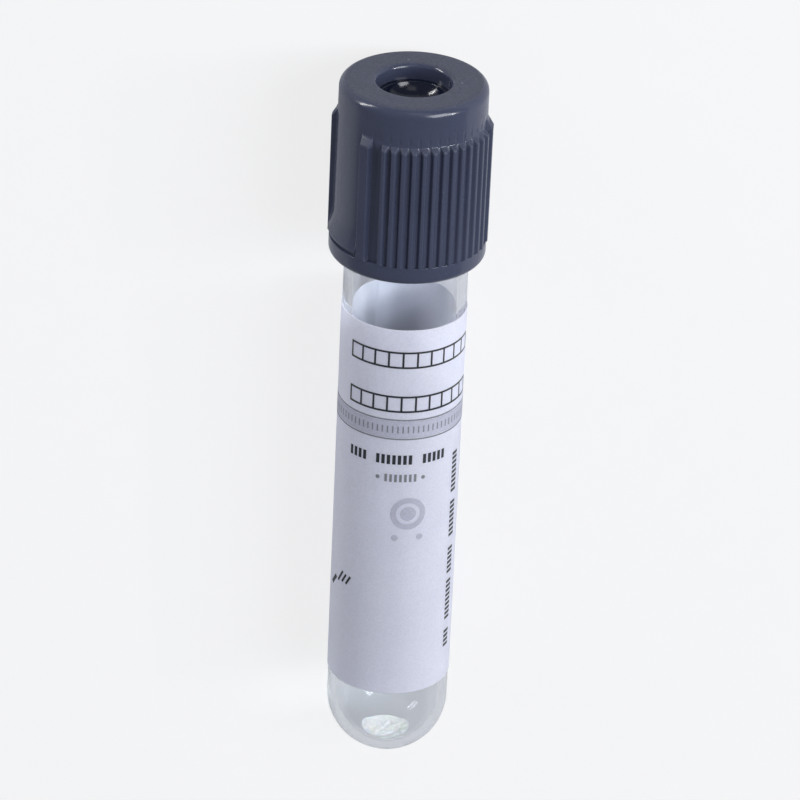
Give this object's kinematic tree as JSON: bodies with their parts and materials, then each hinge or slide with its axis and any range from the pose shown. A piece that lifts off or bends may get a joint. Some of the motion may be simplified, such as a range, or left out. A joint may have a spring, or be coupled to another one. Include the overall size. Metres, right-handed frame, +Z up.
{
  "type": "blood collection tube",
  "caption": "Capped vacuum blood collection tube: round-ended glass tube with a rubber stopper, a ribbed safety cap and a paper wrap label with a window.",
  "frame": {"origin": "on the surface it lies on, under the middle of the tube's length", "axes": "+Y along the tube towards the cap, +Z up; the tube lies on the cap's ring and on the shoulder of its closed end, so its own axis rises by 1.95 degrees towards the cap"},
  "size_m": [0.0168, 0.0796, 0.0171],
  "materials": {
    "clear_glass": "clear, fire-polished rim",
    "dried_salts": "fine dry powder",
    "label_paper": "smooth coated paper with grey and black print",
    "stopper_rubber": "smooth moulded rubber",
    "cap_plastic": "satin moulded plastic"
  },
  "bodies": {
    "tube": {"tube": "clear_glass", "additive": "dried_salts", "label": "label_paper"},
    "stopper": {"stopper": "stopper_rubber"},
    "cap": {"cap": "cap_plastic"}
  },
  "joints": [
    {"name": "closure_pull", "type": "slide", "parent": "tube", "child": "stopper", "axis": [0, 0.9994, 0.0341], "range_m": [0, 0.03]},
    {"name": "closure_twist", "type": "hinge", "parent": "stopper", "child": "cap", "pos_m": [0, 0.03851, 0.00895], "axis": [0, 0.9994, 0.0341], "continuous": true}
  ]
}
